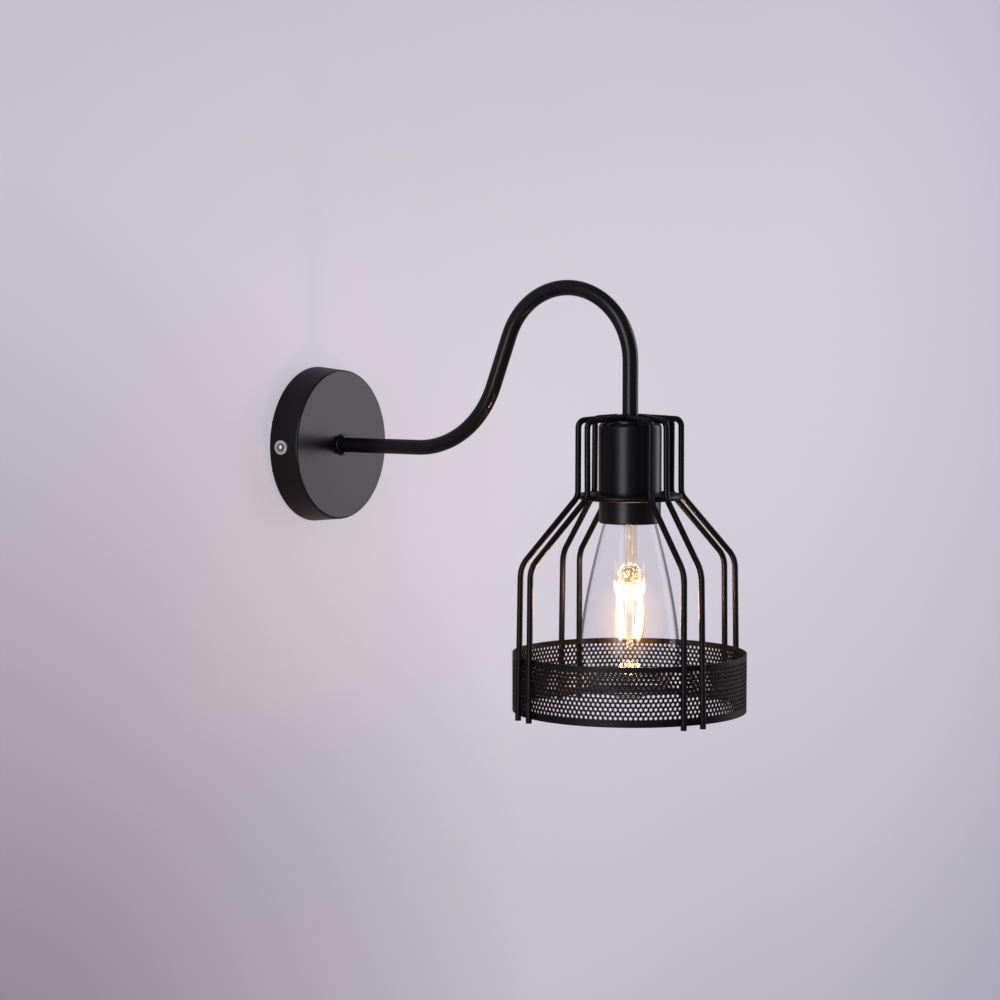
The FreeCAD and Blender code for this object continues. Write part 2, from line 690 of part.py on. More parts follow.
def make_root_fastenings():
    """Washer and nuts on the nipple that hold the tube square on the cup."""
    bore = nipple_radius + S.nipple_fit
    washer = revolve("flange_washer", [
        (bore, 0),
        (S.flange_diameter / 2, 0),
        (S.flange_diameter / 2, S.flange_thickness / 2),
        (S.flange_diameter / 2 - S.flange_thickness / 2, S.flange_thickness, S.flange_thickness / 2, 1),
        (bore, S.flange_thickness),
    ])
    wall_piece(washer, face_reach)
    nut = hex_nut("front_lock_nut", S.front_nut_flats, S.front_nut_thickness, 2 * bore)
    wall_piece(nut, face_reach + S.flange_thickness)
    inside = face_reach - S.cup_wall
    spring = revolve("inner_lock_washer", ring_outline(
        bore, S.inner_washer_diameter / 2, as_size(0), S.inner_washer_thickness))
    wall_piece(spring, inside - S.inner_washer_thickness)
    inner = hex_nut("inner_lock_nut", S.nut_flats, S.nut_thickness, 2 * bore)
    wall_piece(inner, inside - S.inner_washer_thickness - S.nut_thickness)
    nipple = revolve("wall_nipple", ring_outline(
        S.nipple_bore / 2, nipple_radius, S.nipple_inner_reach, tube_start + S.nipple_grip))
    wall_piece(nipple)


def make_arm_tube():
    """Swan-neck tube: level root, climb, arch and a plumb drop onto the cage."""
    body = new_body("arm_tube")
    path = new_sketch(body, "YZ_Plane", "route")
    draw_path(path, [
        (-tube_start, as_size(0)),
        (-rise_reach, as_size(0)),
        (-lamp_reach, arch_level),
        (-lamp_reach, tube_end),
    ], [S.rise_radius, S.arch_radius])
    section = new_sketch(body, "XZ_Plane", "section", offset=tube_start)
    add_circle(section, 0, 0, S.tube_diameter / 2)
    add_circle(section, 0, 0, S.tube_diameter / 2 - S.tube_wall)
    sweep(body, section, path)


def rounded_wire(corners, radii):
    """Space path of straight runs and tangent arcs."""
    edges = []
    start = corners[0]
    for number, radius in enumerate(radii, start=1):
        first, last = rounded_corner(*corners[number - 1:number + 2], radius)
        corner = corners[number]
        bisector = ((first - corner) + (last - corner)).normalize()
        half_angle = (first - corner).getAngle(last - corner) / 2
        middle = corner + bisector * (radius / math.sin(half_angle) - radius)
        edges.append(Part.LineSegment(start, first).toShape())
        edges.append(Part.Arc(first, middle, last).toShape())
        start = last
    edges.append(Part.LineSegment(start, corners[-1]).toShape())
    return Part.Wire(edges)


def make_leads():
    """Insulated leads from the terminal block through the tube to the lampholder's screws."""
    low = S.cage_level.value
    holder_screw_top = low - S.base_drop.value + S.holder_screw_height.value + S.small_gap.value
    nipple_low = low - lamp_nipple_low.value
    step = S.lead_bend.value
    block_end = -S.block_drop.value - pole_depth.value + S.small_gap.value
    for tag, side in (("live", 1), ("neutral", -1)):
        pole = side * S.pole_offset.value
        inner = side * S.lead_offset.value
        outer = side * S.holder_pole_offset.value
        reach = lamp_reach.value
        corners = [
            FreeCAD.Vector(pole, -pole_reach.value, block_end),
            FreeCAD.Vector(pole, -pole_reach.value, -step - S.small_gap.value),
            FreeCAD.Vector(inner, -S.nipple_inner_reach.value + 0.75 * step, 0),
            FreeCAD.Vector(inner, -rise_reach.value, 0),
            FreeCAD.Vector(inner, -reach, arch_level.value),
            FreeCAD.Vector(inner, -reach, nipple_low - step / 2),
            FreeCAD.Vector(outer, -reach, nipple_low - 2.5 * step),
            FreeCAD.Vector(outer, -reach, holder_screw_top),
        ]
        radii = [step, step, S.rise_radius.value, S.arch_radius.value, step, step]
        route = rounded_wire(corners, radii)
        section = Part.Circle(corners[0], FreeCAD.Vector(0, 0, 1), S.lead_diameter.value / 2)
        lead = doc.addObject("Part::Feature", "lead_" + tag)
        lead.Label = "lead_" + tag
        lead.Shape = route.makePipeShell([Part.Wire(section.toShape())], True, False)
        lead.Placement = FreeCAD.Placement()
        nodes.append(lead)


# ---- cage ---------------------------------------------------------------------------------------

lamp_nipple_low = S.holder_cap_drop + 2 * S.holder_cap_wall


def make_cage_hub():
    """Shallow conical disc between the tube and the lamp cup; the wires are welded on it."""
    hub = revolve("cage_hub", [
        (nipple_hole, 0),
        (S.hub_diameter / 2, 0),
        (S.hub_diameter / 2, S.hub_rim),
        (S.hub_land_diameter / 2, hub_top),
        (nipple_hole, hub_top),
    ])
    lamp_piece(hub)


def make_lamp_nipple():
    """Threaded tube from inside the swan neck through the hub, the cup and the holder's cap."""
    nipple = revolve("lamp_nipple", ring_outline(
        S.nipple_bore / 2, nipple_radius, -lamp_nipple_low, hub_top + S.nipple_grip))
    lamp_piece(nipple)


def make_cage_wires():
    """Eight bent wires in four pairs; each one lies in its own upright plane."""
    number = 0
    for pair in range(WIRE_PAIRS):
        turn = S.cage_turn_angle.value - 90.0 + pair * 360.0 / WIRE_PAIRS
        for side in (-1, 1):
            number += 1
            body = new_body("cage_wire_%d" % number)
            path = new_sketch(body, "XZ_Plane", "route")
            slope = tangent(S.cage_slope_angle)
            draw_path(path, [
                (wire_low_radius, -wire_low),
                (waist_radius, -S.waist_drop),
                (S.neck_radius, -S.neck_drop),
                (S.neck_radius, wire_axis_height - S.neck_radius * slope),
                (wire_start_radius, wire_axis_height - wire_start_radius * slope),
            ], [S.waist_bend_radius, S.neck_bend_radius, S.top_bend_radius])
            section = new_sketch(body, "XY_Plane", "section", offset=-wire_low)
            add_circle(section, wire_low_radius, 0, S.wire_diameter / 2)
            sweep(body, section, path)
            heading = FreeCAD.Rotation(FreeCAD.Vector(0, 0, 1), turn)
            lean = FreeCAD.Rotation(FreeCAD.Vector(1, 0, 0), side * S.pair_lean_angle.value)
            aside = side * S.pair_spacing / 2
            angle = as_size(turn)
            place(body, x=-aside * sine(angle), y=aside * cosine(angle) - lamp_reach,
                  z=S.cage_level, rotation=heading * lean)


def make_neck_ring():
    """Wire ring that nests inside the bends at the cage's neck."""
    bend_tangent = S.neck_bend_radius * tangent(neck_turn / 2)
    rise = S.ring_drop - (S.neck_drop - bend_tangent)
    touch = S.neck_bend_radius + S.wire_diameter / 2 + S.ring_wire_diameter / 2 + S.weld_gap
    radius = S.neck_radius + S.neck_bend_radius - root(touch * touch - rise * rise)
    ring = doc.addObject("Part::Torus", "neck_ring")
    bind(ring, "Radius1", radius)
    bind(ring, "Radius2", S.ring_wire_diameter / 2)
    ring.Label = "neck_ring"
    nodes.append(ring)
    place(ring, y=-lamp_reach, z=S.cage_level - S.ring_drop)


slope_fall = S.waist_drop - S.neck_drop
slope_run = waist_radius - S.neck_radius
neck_turn = Size(math.degrees(math.atan2(slope_run.value, slope_fall.value)),
                 "(atan(%s / %s) / 1 deg)" % (slope_run.text, slope_fall.text))


def make_band():
    """Sheet band inside the wires' lower ends, with a plain grid of openings for its small holes."""
    outer = S.band_diameter / 2
    band = revolve("perforated_band", ring_outline(
        outer - S.band_thickness, outer, -band_low, -S.band_drop))
    grid = new_sketch(band, "XZ_Plane", "windows")
    half_width = S.window_width / 2
    half_height = S.window_height / 2
    for row in range(WINDOW_ROWS):
        middle = S.window_margin + row * S.window_pitch - band_low
        draw_outline(grid, rectangle(-half_width, half_width, middle - half_height, middle + half_height))
    cut = pocket_through(band, grid, "window_cut")
    band.Tip = cut
    around = band.newObject("PartDesign::PolarPattern", "perforated_band_around")
    around.Originals = [cut]
    around.Axis = (grid, ["V_Axis"])
    around.Angle = 180.0 - 360.0 / WINDOW_COLUMNS
    around.Occurrences = WINDOW_COLUMNS // 2
    band.Tip = around
    lamp_piece(band)


# ---- lamp cup and lampholder --------------------------------------------------------------------

def shouldered_cup(name, radius, wall, shoulder, top, low, bore):
    """Thin cup that opens downward, with a rounded shoulder and a bore in its top."""
    return revolve(name, [
        (bore, top),
        (bore, top - wall),
        (radius - shoulder, top - wall),
        (radius - wall, top - shoulder, shoulder - wall, -1),
        (radius - wall, low),
        (radius, low),
        (radius, top - shoulder),
        (radius - shoulder, top, shoulder, 1),
    ])


def make_lamp_cup():
    cup = shouldered_cup("lamp_cup", S.lamp_cup_diameter / 2, S.lamp_cup_wall, S.lamp_cup_shoulder,
                         as_size(0), -S.lamp_cup_length, nipple_hole)
    lamp_piece(cup)
    nut = hex_nut("cup_clamp_nut", S.nut_flats, S.nut_thickness, 2 * (nipple_radius + S.nipple_fit))
    place(nut, y=-lamp_reach, z=S.cage_level - S.lamp_cup_wall - S.nut_thickness)


def make_holder_cap():
    cap = shouldered_cup("holder_cap", body_radius, S.holder_cap_wall, S.holder_cap_shoulder,
                         -S.holder_cap_drop, -body_top, nipple_radius + S.nipple_fit)
    lamp_piece(cap)


def make_holder_body():
    """Insulating sleeve with a ledge for the contact base and a thread for the skirt."""
    thread = S.holder_thread_diameter / 2
    sleeve = revolve("holder_body", [
        (base_seat_radius, -body_top),
        (base_seat_radius, -base_low),
        (body_bore_radius, -base_low),
        (body_bore_radius, -body_low),
        (thread, -body_low),
        (thread, -skirt_top),
        (body_radius, -skirt_top),
        (body_radius, -body_top),
    ])
    lamp_piece(sleeve)


def make_holder_skirt():
    """Screwed-on skirt, the plain collar seen under the lamp cup."""
    outer = S.skirt_diameter / 2
    low = skirt_top + S.skirt_length
    edge = S.skirt_edge_radius
    thread = S.holder_thread_diameter / 2 + S.thread_play
    shelf = body_low + S.thread_play
    skirt = revolve("holder_skirt", [
        (thread, -skirt_top),
        (thread, -shelf),
        (S.skirt_bore / 2, -shelf),
        (S.skirt_bore / 2, -low),
        (outer - edge, -low),
        (outer, edge - low, edge, 1),
        (outer, -skirt_top),
    ])
    lamp_piece(skirt)


def make_contacts():
    """Ceramic base with the screw shell, the centre contact and the two lead screws."""
    base = revolve("contact_base", ring_outline(as_size(0), S.base_diameter / 2, -base_low, -S.base_drop))
    lamp_piece(base)
    shell = revolve("screw_shell", ring_outline(
        shell_radius - S.shell_wall, shell_radius, -base_low - S.shell_length, -base_low))
    lamp_piece(shell)
    contact = revolve("centre_contact", ring_outline(
        as_size(0), S.contact_diameter / 2, -base_low - S.contact_height, -base_low))
    lamp_piece(contact)
    for tag, side in (("live", 1), ("neutral", -1)):
        screw = revolve("holder_screw_" + tag, ring_outline(
            as_size(0), S.holder_screw_diameter / 2, -S.base_drop, S.holder_screw_height - S.base_drop))
        place(screw, x=side * S.holder_pole_offset, y=-lamp_reach, z=S.cage_level)


# ---- bulb ---------------------------------------------------------------------------------------

def make_bulb_cap():
    """Screw cap: centre contact and glass cone travel, the shell below them also turns."""
    tip_low = tip_drop + S.tip_height
    tip = revolve("bulb_tip_contact", ring_outline(as_size(0), S.tip_diameter / 2, -tip_low, -tip_drop))
    lamp_piece(tip)
    cone_low = tip_low + S.insulator_height
    cone = revolve("bulb_insulator", [
        (0, -tip_low),
        (0, -cone_low),
        (S.insulator_diameter / 2, -cone_low),
        (S.tip_diameter / 2, -tip_low),
    ])
    lamp_piece(cone)
    inner = cap_radius - S.cap_wall
    shell = revolve("bulb_cap", [
        (inner - S.cap_wall * 4, -cap_drop),
        (inner - S.cap_wall * 4, -cap_drop - S.cap_wall),
        (inner, -cap_drop - S.cap_wall),
        (inner, -cap_drop - S.cap_length),
        (cap_radius, -cap_drop - S.cap_length),
        (cap_radius, -cap_drop),
    ])
    lamp_piece(shell)


neck_tube_radius = cap_radius - S.cap_wall - S.cement_gap
neck_tube_low = S.neck_glass_drop - S.neck_flare
neck_tube_top = neck_tube_low - S.neck_tube_length
crown_drop = tip_drop + S.bulb_length
widest_drop = crown_drop - S.crown_height


def make_glass_envelope():
    """Pear glass: neck tube, shoulder, one long arc to the widest part and a rounded crown."""
    widest = S.bulb_diameter / 2
    neck = S.neck_glass_diameter / 2
    height = widest_drop - S.neck_glass_drop
    narrowing = widest - neck
    flank = (narrowing * narrowing + height * height) / (2 * narrowing)
    corner = S.crown_corner
    corner_out = widest - corner
    crown = (corner_out * corner_out + S.crown_height * S.crown_height - corner * corner) / (
        2 * (S.crown_height - corner))
    crown_centre = crown_drop - crown
    share = as_size(1.0) / (crown - corner)
    lean_x = corner_out * share
    lean_y = (widest_drop - crown_centre) * share
    skin = S.glass_wall
    flank_in = flank - skin
    neck_in = root(flank_in * flank_in - height * height) - (flank - widest)
    envelope = revolve("glass_envelope", [
        (neck_tube_radius - skin, -neck_tube_top),
        (neck_tube_radius - skin, -neck_tube_low - skin / 2),
        (neck_in, -S.neck_glass_drop),
        (widest - skin, -widest_drop, flank_in, -1),
        (crown * lean_x - skin * lean_x, -crown_centre - (crown - skin) * lean_y, corner - skin, -1),
        (0, skin - crown_drop, crown - skin, -1),
        (0, -crown_drop),
        (crown * lean_x, -crown_centre - crown * lean_y, crown, 1),
        (widest, -widest_drop, corner, 1),
        (neck, -S.neck_glass_drop, flank, 1),
        (neck_tube_radius, -neck_tube_low),
        (neck_tube_radius, -neck_tube_top),
    ])
    lamp_piece(envelope)


def make_glass_stem():
    """Flared hollow stem, pinched shut, with a thin rod that carries the filaments."""
    flare = neck_tube_radius - S.glass_wall - S.stem_gap
    tube = S.stem_diameter / 2
    wall = S.stem_wall
    top = neck_tube_top
    tube_top = top + S.stem_flare
    pinch = top + S.stem_length
    rod = S.rod_diameter / 2
    rod_low = S.filament_top_drop + S.filament_drop + S.carrier_collar_height
    stem = revolve("glass_stem", [
        (flare - wall, -top),
        (tube - wall, -tube_top),
        (tube - wall, wall * 3 - pinch),
        (0, wall - pinch),
        (0, -rod_low),
        (rod, -rod_low),
        (rod, -pinch),
        (tube, wall * 2 - pinch),
        (tube, -tube_top),
        (flare, -top),
    ])
    lamp_piece(stem)


def make_filament_carrier(name, drop, tip_radius):
    """Collar on the rod with one stiff wire toward each filament's end."""
    inner = S.rod_diameter / 2 + S.small_gap
    outer = inner + S.carrier_collar
    collar_wall = cylinder(name + "_outside", outer, S.carrier_collar_height)
    pieces = [collar_wall]
    for number in range(FILAMENTS):
        arm = cylinder("%s_arm_%d" % (name, number), S.carrier_wire / 2, tip_radius)
        angle = S.filament_turn_angle.value - 90.0 + number * 360.0 / FILAMENTS
        heading = FreeCAD.Rotation(FreeCAD.Vector(0, 0, 1), angle)
        rotation = heading * FreeCAD.Rotation(FreeCAD.Vector(0, 1, 0), 90)
        place(arm, z=S.carrier_collar_height / 2, rotation=rotation)
        pieces.append(arm)
    solid = doc.addObject("Part::MultiFuse", name + "_solid")
    solid.Shapes = pieces
    bore = cylinder(name + "_bore", inner, S.carrier_collar_height * 3)
    place(bore, z=-S.carrier_collar_height)
    carrier = bored(name, solid, [bore])
    place(carrier, y=-lamp_reach, z=S.cage_level - drop)


def make_filaments():
    """Four straight filaments that flare toward their upper ends."""
    spread = S.filament_top_radius - S.filament_low_radius
    length = root(spread * spread + S.filament_drop * S.filament_drop)
    tilt = math.degrees(math.atan2(spread.value, S.filament_drop.value))
    half = S.carrier_wire / 2 + S.filament_diameter / 2 * sine(as_size(tilt)) + S.small_gap
    for number in range(FILAMENTS):
        angle = S.filament_turn_angle.value - 90.0 + number * 360.0 / FILAMENTS
        heading = FreeCAD.Rotation(FreeCAD.Vector(0, 0, 1), angle)
        rod = cylinder("filament_%d" % (number + 1), S.filament_diameter / 2, length)
        rod.Label = "filament_%d" % (number + 1)
        nodes.append(rod)
        turn = as_size(angle)
        place(rod, x=S.filament_low_radius * cosine(turn), y=S.filament_low_radius * sine(turn) - lamp_reach,
              z=S.cage_level - S.filament_top_drop - S.filament_drop,
              rotation=heading * FreeCAD.Rotation(FreeCAD.Vector(0, 1, 0), tilt))
    gap = S.carrier_collar_height / 2
    make_filament_carrier("filament_carrier_upper", S.filament_top_drop + gap - half,
                          S.filament_top_radius)
    make_filament_carrier("filament_carrier_lower",
                          S.filament_top_drop + S.filament_drop + gap + half, S.filament_low_radius)


# ---- build and export ---------------------------------------------------------------------------

def check_and_export():
    doc.recompute()
    for item in doc.Objects:
        if "Invalid" in item.State or "Error" in item.State:
            raise RuntimeError("%s did not build: %s" % (item.Name, item.State))
    for item in nodes:
        if item.Shape.isNull() or not item.Shape.isValid():
            raise RuntimeError("%s has no valid shape" % item.Label)
    os.makedirs("parts", exist_ok=True)
    for item in nodes:
        item.Shape.exportStep(os.path.join("parts", item.Label + ".step"))
        print("%-24s %2d %10.1f mm3" % (item.Label, len(item.Shape.Solids), item.Shape.Volume))
    print(len(nodes), "nodes, lamp reach %.2f mm" % lamp_reach.value)


make_wall_cup()
make_wall_bracket()
make_side_screws()
make_earth_screw()
make_terminal_block()
make_pole_screws()
make_root_fastenings()
make_arm_tube()
make_leads()
make_cage_hub()
make_lamp_nipple()
make_cage_wires()
make_neck_ring()
make_band()
make_lamp_cup()
make_holder_cap()
make_holder_body()
make_holder_skirt()
make_contacts()
make_bulb_cap()
make_glass_envelope()
make_glass_stem()
make_filaments()
check_and_export()
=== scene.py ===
import json
import math

import bmesh
import bpy
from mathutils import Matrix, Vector


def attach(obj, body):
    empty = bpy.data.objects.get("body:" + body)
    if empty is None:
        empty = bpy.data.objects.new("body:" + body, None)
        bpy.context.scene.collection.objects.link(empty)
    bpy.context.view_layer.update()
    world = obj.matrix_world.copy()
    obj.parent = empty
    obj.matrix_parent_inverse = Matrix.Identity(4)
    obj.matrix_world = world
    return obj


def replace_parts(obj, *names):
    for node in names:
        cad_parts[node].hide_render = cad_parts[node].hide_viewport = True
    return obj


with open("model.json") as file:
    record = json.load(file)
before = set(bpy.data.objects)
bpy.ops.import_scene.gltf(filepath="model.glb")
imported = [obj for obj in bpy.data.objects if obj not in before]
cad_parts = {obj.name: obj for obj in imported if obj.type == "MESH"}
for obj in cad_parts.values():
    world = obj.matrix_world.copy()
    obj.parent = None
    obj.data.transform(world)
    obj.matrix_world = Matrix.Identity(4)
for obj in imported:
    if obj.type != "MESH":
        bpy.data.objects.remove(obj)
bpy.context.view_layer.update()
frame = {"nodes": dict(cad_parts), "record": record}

NODES = frame["nodes"]

# The lamp's upright axis goes through x 0 and this y. Levels are counted down from the lamp cup's top.
LAMP_Y = -0.24977
CUP_TOP = 0.0205


# ---- shader helpers -----------------------------------------------------------------------------

def new_material(name):
    mat = bpy.data.materials.new(name)
    mat.use_nodes = True
    mat.node_tree.nodes.clear()
    return mat


def node(owner, kind, **values):
    """Adds a shader node to a material or a world and sets its sockets and properties by name."""
    item = owner.node_tree.nodes.new(kind)
    for key, value in values.items():
        if hasattr(item, key):
            setattr(item, key, value)
        else:
            item.inputs[key.replace("_", " ")].default_value = value
    return item


def link(owner, source, target):
    owner.node_tree.links.new(source, target)


def math_node(mat, operation, *values):
    """A maths node. Each value is a decimal number or the output of another node."""
    item = node(mat, "ShaderNodeMath", operation=operation)
    for socket, value in zip(item.inputs, values):
        if isinstance(value, float):
            socket.default_value = value
        else:
            link(mat, value, socket)
    return item.outputs["Value"]


def noise(mat, coord, scale, detail, **values):
    """Cloudy noise in the object's own space, from 0 to 1."""
    item = node(mat, "ShaderNodeTexNoise", Scale=scale, Detail=detail, **values)
    link(mat, coord.outputs["Object"], item.inputs["Vector"])
    return item.outputs["Fac"]


def colour_ramp(mat, factor, *stops):
    """Colours between two stops, each a position and a colour."""
    ramp = node(mat, "ShaderNodeValToRGB")
    for number, (position, colour) in enumerate(stops):
        ramp.color_ramp.elements[number].position = position
        ramp.color_ramp.elements[number].color = (*colour, 1)
    link(mat, factor, ramp.inputs["Fac"])
    return ramp.outputs["Color"]


def bump(mat, height, strength, distance):
    relief = node(mat, "ShaderNodeBump", Strength=strength, Distance=distance)
    link(mat, height, relief.inputs["Height"])
    return relief.outputs["Normal"]


def emission(mat, colour, strength):
    light = node(mat, "ShaderNodeEmission", Color=(*colour, 1))
    link(mat, strength, light.inputs["Strength"])
    return light.outputs["Emission"]


def mix_shaders(mat, share, first, second):
    mix = node(mat, "ShaderNodeMixShader")
    link(mat, share, mix.inputs["Fac"])
    link(mat, first, mix.inputs[1])
    link(mat, second, mix.inputs[2])
    return mix.outputs["Shader"]


def seen_ray(mat, path):
    """1 for rays from the camera, also through glass, and 0 for all others."""
    return math_node(mat, "MAXIMUM", path.outputs["Is Camera Ray"], path.outputs["Is Transmission Ray"])


def finish_material(mat, shader):
    out = node(mat, "ShaderNodeOutputMaterial")
    link(mat, shader, out.inputs["Surface"])
    return mat


# ---- materials ----------------------------------------------------------------------------------

def mottled(name, dark, light, rough, spread, scale, relief, metallic=0.0, specular=0.5):
    """A finish that wanders slightly in colour, roughness and relief, in the object's own space."""
    fine_to_broad = 28
    mat = new_material(name)
    coord = node(mat, "ShaderNodeTexCoord")
    broad = noise(mat, coord, scale, 4.0, Roughness=0.55)
    colour = colour_ramp(mat, broad, (0.3, dark), (0.7, light))
    roughness = node(mat, "ShaderNodeMapRange", To_Min=rough - spread, To_Max=rough + spread)
    link(mat, broad, roughness.inputs["Value"])
    fine = noise(mat, coord, scale * fine_to_broad, 3.0, Roughness=0.6)
    normal = bump(mat, fine, relief, 0.0002)
    surface = node(mat, "ShaderNodeBsdfPrincipled", Metallic=metallic, Specular_IOR_Level=specular)
    link(mat, colour, surface.inputs["Base Color"])
    link(mat, roughness.outputs["Result"], surface.inputs["Roughness"])
    link(mat, normal, surface.inputs["Normal"])
    return finish_material(mat, surface.outputs["BSDF"])


def clear_glass(name, face_tint, edge_painted_shade, edge_start, shine):
    """Thin clear glass: see-through in front, with painted shade that darkens it where it is looked
    along, and a sharp shine.
    """
    shine_power, shine_in_front = 4.5, 0.02
    mat = new_material(name)
    coord = node(mat, "ShaderNodeTexCoord")
    normal = bump(mat, noise(mat, coord, 22.0, 1.0), 0.05, 0.0004)
    weight = node(mat, "ShaderNodeLayerWeight", Blend=0.5)
    facing = weight.outputs["Facing"]
    # Painted shade: the edge colour darkens the glass where it is looked along.
    tint_and_edge_shade = colour_ramp(mat, facing, (edge_start, face_tint), (0.99, edge_painted_shade))
    through = node(mat, "ShaderNodeBsdfTransparent")
    link(mat, tint_and_edge_shade, through.inputs["Color"])
    gloss = node(mat, "ShaderNodeBsdfGlossy", Roughness=0.02)
    link(mat, normal, gloss.inputs["Normal"])
    slant = math_node(mat, "POWER", facing, shine_power)
    share = math_node(mat, "MULTIPLY_ADD", slant, shine, shine_in_front)
    return finish_material(mat, mix_shaders(mat, share, through.outputs["BSDF"], gloss.outputs["BSDF"]))


def glowing(name, core, strength):
    """Lit filament: a beaded phosphor coat that fades to an eighth at its upper end."""
    lit_top, fade_height, faded = -0.0850, 0.006, 0.12
    mat = new_material(name)
    coord = node(mat, "ShaderNodeTexCoord")
    level = node(mat, "ShaderNodeMapRange", To_Min=strength * 0.8, To_Max=strength * 1.2)
    link(mat, noise(mat, coord, 420.0, 2.0), level.inputs["Value"])
    parts = node(mat, "ShaderNodeSeparateXYZ")
    link(mat, coord.outputs["Object"], parts.inputs["Vector"])
    fade = node(mat, "ShaderNodeMapRange", interpolation_type="SMOOTHSTEP",
                From_Min=lit_top + fade_height, From_Max=lit_top, To_Min=faded, To_Max=1.0)
    link(mat, parts.outputs["Z"], fade.inputs["Value"])
    product = math_node(mat, "MULTIPLY", level.outputs["Result"], fade.outputs["Result"])
    return finish_material(mat, emission(mat, core, product))


def glow_sleeve(name, core, strength):
    """Painted glow in the air around a lit filament, seen by the camera only, also through glass: clear
    at the sleeve's edge, bright where it is looked through.
    """
    edge_softness = 2.6
    mat = new_material(name)
    weight = node(mat, "ShaderNodeLayerWeight", Blend=0.5)
    centre = math_node(mat, "SUBTRACT", 1.0, weight.outputs["Facing"])
    soft = math_node(mat, "POWER", centre, edge_softness)
    coord = node(mat, "ShaderNodeTexCoord")
    amount = math_node(mat, "MULTIPLY", soft, noise(mat, coord, 160.0, 1.0))
    path = node(mat, "ShaderNodeLightPath")
    level = math_node(mat, "MULTIPLY", amount, seen_ray(mat, path))
    light = emission(mat, core, math_node(mat, "MULTIPLY", level, strength))
    through = node(mat, "ShaderNodeBsdfTransparent")
    both = node(mat, "ShaderNodeAddShader")
    link(mat, light, both.inputs[0])
    link(mat, through.outputs["BSDF"], both.inputs[1])
    return finish_material(mat, both.outputs["Shader"])


def wire_with_painted_glow(name, dark, light, strength, glint_fleck_scale):
    """Wire close to the filaments with painted light: its warm colour and bright flecks are painted
    glints of the filaments' light on it, and part of its light is given off as a painted warm glow.
    """
    mat = new_material(name)
    coord = node(mat, "ShaderNodeTexCoord")
    # Painted glints: bright flecks of the filaments' light.
    grain_and_glint_flecks = node(mat, "ShaderNodeTexVoronoi", Scale=glint_fleck_scale)
    link(mat, coord.outputs["Object"], grain_and_glint_flecks.inputs["Vector"])
    colour = colour_ramp(mat, grain_and_glint_flecks.outputs["Distance"], (0.22, light), (0.5, dark))
    surface = node(mat, "ShaderNodeBsdfPrincipled", Metallic=0.6, Roughness=0.25,
                   Emission_Strength=strength)
    link(mat, colour, surface.inputs["Base Color"])
    link(mat, colour, surface.inputs["Emission Color"])
    return finish_material(mat, surface.outputs["BSDF"])


PAINT = mottled("satin_black", (0.0030, 0.0029, 0.0038), (0.0052, 0.0050, 0.0062),
                rough=0.29, spread=0.04, scale=9.0, relief=0.10)
WIRE_PAINT = mottled("wire_black", (0.0034, 0.0031, 0.0038), (0.0056, 0.0052, 0.006),
                     rough=0.37, spread=0.04, scale=9.0, relief=0.10, specular=0.30)
LAMP_PAINT = mottled("lamp_black", (0.0030, 0.0029, 0.0038), (0.0052, 0.0050, 0.0062),
                     rough=0.30, spread=0.04, scale=9.0, relief=0.10, specular=0.40)
BAND_PAINT = mottled("band_black", (0.0036, 0.0032, 0.0036), (0.006, 0.0054, 0.006),
                     rough=0.50, spread=0.05, scale=14.0, relief=0.10, specular=0.34)
SKIRT = mottled("skirt_black", (0.0034, 0.0032, 0.0038), (0.0056, 0.0053, 0.006),
                rough=0.31, spread=0.04, scale=12.0, relief=0.12)
ZINC = mottled("zinc", (0.55, 0.56, 0.58), (0.68, 0.69, 0.70),
               rough=0.30, spread=0.08, scale=40.0, relief=0.15, metallic=1.0)
BRIGHT_ZINC = mottled("bright_zinc", (0.86, 0.86, 0.88), (0.94, 0.94, 0.95),
                      rough=0.42, spread=0.06, scale=60.0, relief=0.08, metallic=0.55)
CHROME = mottled("chrome", (0.78, 0.78, 0.79), (0.86, 0.86, 0.87),
                 rough=0.13, spread=0.04, scale=60.0, relief=0.05, metallic=1.0)
BRASS = mottled("brass", (0.62, 0.46, 0.20), (0.74, 0.58, 0.30),
                rough=0.28, spread=0.06, scale=50.0, relief=0.10, metallic=1.0)
NICKEL = mottled("nickel", (0.62, 0.58, 0.50), (0.74, 0.70, 0.62),
                 rough=0.24, spread=0.06, scale=60.0, relief=0.10, metallic=1.0)
CERAMIC = mottled("ceramic", (0.72, 0.70, 0.66), (0.80, 0.78, 0.74),
                  rough=0.30, spread=0.06, scale=30.0, relief=0.08)
BROWN = mottled("brown_sleeve", (0.16, 0.06, 0.03), (0.21, 0.09, 0.045),
                rough=0.45, spread=0.05, scale=60.0, relief=0.08)
BLUE = mottled("blue_sleeve", (0.03, 0.10, 0.30), (0.05, 0.14, 0.38),
               rough=0.45, spread=0.05, scale=60.0, relief=0.08)
VITRITE = mottled("vitrite", (0.01, 0.01, 0.012), (0.02, 0.02, 0.024),
                  rough=0.15, spread=0.05, scale=60.0, relief=0.05)
# The second colour of each glass is painted shade at its edges.
GLASS = clear_glass("bulb_glass", (0.998, 0.997, 0.997), (0.05, 0.045, 0.05),
                    edge_start=0.70, shine=0.22)
STEM_GLASS = clear_glass("stem_glass", (0.985, 0.968, 0.94), (0.55, 0.48, 0.40),
                         edge_start=0.66, shine=0.3)
FILAMENT = glowing("lit_filament", (1.0, 0.74, 0.46), strength=7.0)
# Painted glow around the filaments and inside the bulb, seen by the camera only.
FILAMENT_PAINTED_GLOW = glow_sleeve("filament_glow", (1.0, 0.78, 0.52), strength=1.5)
WARM_PAINTED_GLOW = glow_sleeve("warm_painted_glow", (1.0, 0.42, 0.12), strength=0.32)
